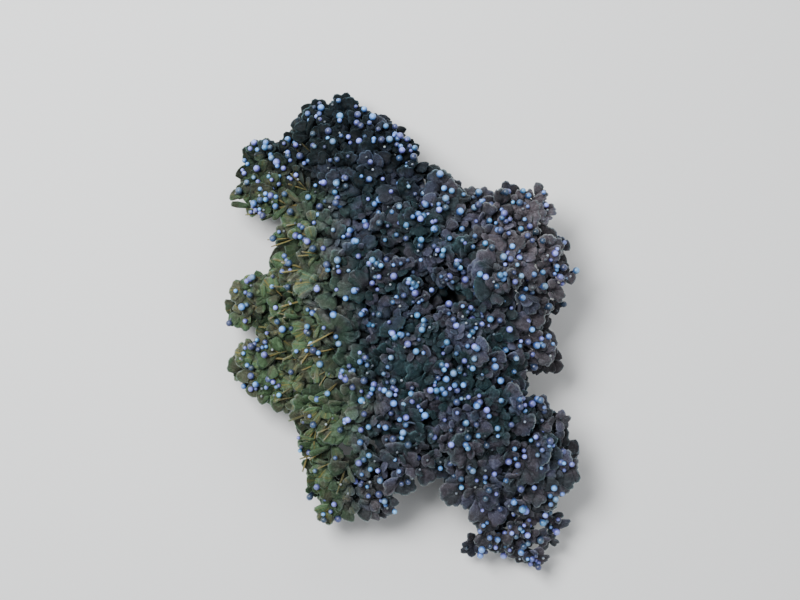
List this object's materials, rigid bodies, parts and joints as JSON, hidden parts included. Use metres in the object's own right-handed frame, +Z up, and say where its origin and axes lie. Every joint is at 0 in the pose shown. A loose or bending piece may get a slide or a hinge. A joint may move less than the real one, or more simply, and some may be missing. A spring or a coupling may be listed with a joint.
{
  "type": "branching sea anemone",
  "caption": "Life-size still model of a branching sea anemone, crown of leafy, bead-tipped pseudotentacles spread wide over a short stout column on its pedal disc.",
  "frame": {"origin": "middle of the pedal disc's flat underside, where the animal stands on the floor", "axes": "+Z up along the column towards the mouth, +Y along the crown's longest spread, +X to its right"},
  "size_m": [0.1322, 0.1779, 0.0469],
  "materials": {
    "foot": "damp, soft, faintly wrinkled flesh",
    "column": "damp, smooth flesh with pale lengthwise lines",
    "disc": "damp, dark flesh with fine pale rays",
    "mouth": "damp, pleated pale lips",
    "pseudotentacle": "soft, translucent grey-brown fronds with paler rims",
    "vesicle": "smooth, moist, pale periwinkle beads"
  },
  "bodies": {
    "root": {"column": "column", "mouth": "mouth", "oral_disc": "disc", "pedal_disc": "foot", "pseudotentacle_1_bough_a": "pseudotentacle", "pseudotentacle_1_bough_b": "pseudotentacle", "pseudotentacle_1_spray_a1": "pseudotentacle", "pseudotentacle_1_spray_a2": "pseudotentacle", "pseudotentacle_1_spray_b1": "pseudotentacle", "pseudotentacle_1_spray_b2": "pseudotentacle", "pseudotentacle_1_trunk": "pseudotentacle", "pseudotentacle_2_bough_a": "pseudotentacle", "pseudotentacle_2_bough_b": "pseudotentacle", "pseudotentacle_2_spray_a1": "pseudotentacle", "pseudotentacle_2_spray_a2": "pseudotentacle", "pseudotentacle_2_spray_b1": "pseudotentacle", "pseudotentacle_2_spray_b2": "pseudotentacle", "pseudotentacle_2_trunk": "pseudotentacle", "pseudotentacle_3_bough_a": "pseudotentacle", "pseudotentacle_3_bough_b": "pseudotentacle", "pseudotentacle_3_spray_a1": "pseudotentacle", "pseudotentacle_3_spray_a2": "pseudotentacle", "pseudotentacle_3_spray_b1": "pseudotentacle", "pseudotentacle_3_spray_b2": "pseudotentacle", "pseudotentacle_3_trunk": "pseudotentacle", "pseudotentacle_4_bough_a": "pseudotentacle", "pseudotentacle_4_bough_b": "pseudotentacle", "pseudotentacle_4_spray_a1": "pseudotentacle", "pseudotentacle_4_spray_a2": "pseudotentacle", "pseudotentacle_4_spray_b1": "pseudotentacle", "pseudotentacle_4_spray_b2": "pseudotentacle", "pseudotentacle_4_trunk": "pseudotentacle", "pseudotentacle_5_bough_a": "pseudotentacle", "pseudotentacle_5_bough_b": "pseudotentacle", "pseudotentacle_5_spray_a1": "pseudotentacle", "pseudotentacle_5_spray_a2": "pseudotentacle", "pseudotentacle_5_spray_b1": "pseudotentacle", "pseudotentacle_5_spray_b2": "pseudotentacle", "pseudotentacle_5_trunk": "pseudotentacle", "pseudotentacle_6_bough_a": "pseudotentacle", "pseudotentacle_6_bough_b": "pseudotentacle", "pseudotentacle_6_spray_a1": "pseudotentacle", "pseudotentacle_6_spray_a2": "pseudotentacle", "pseudotentacle_6_spray_b1": "pseudotentacle", "pseudotentacle_6_spray_b2": "pseudotentacle", "pseudotentacle_6_trunk": "pseudotentacle", "pseudotentacle_7_bough_a": "pseudotentacle", "pseudotentacle_7_bough_b": "pseudotentacle", "pseudotentacle_7_spray_a1": "pseudotentacle", "pseudotentacle_7_spray_a2": "pseudotentacle", "pseudotentacle_7_spray_b1": "pseudotentacle", "pseudotentacle_7_spray_b2": "pseudotentacle", "pseudotentacle_7_trunk": "pseudotentacle"}
  },
  "joints": []
}
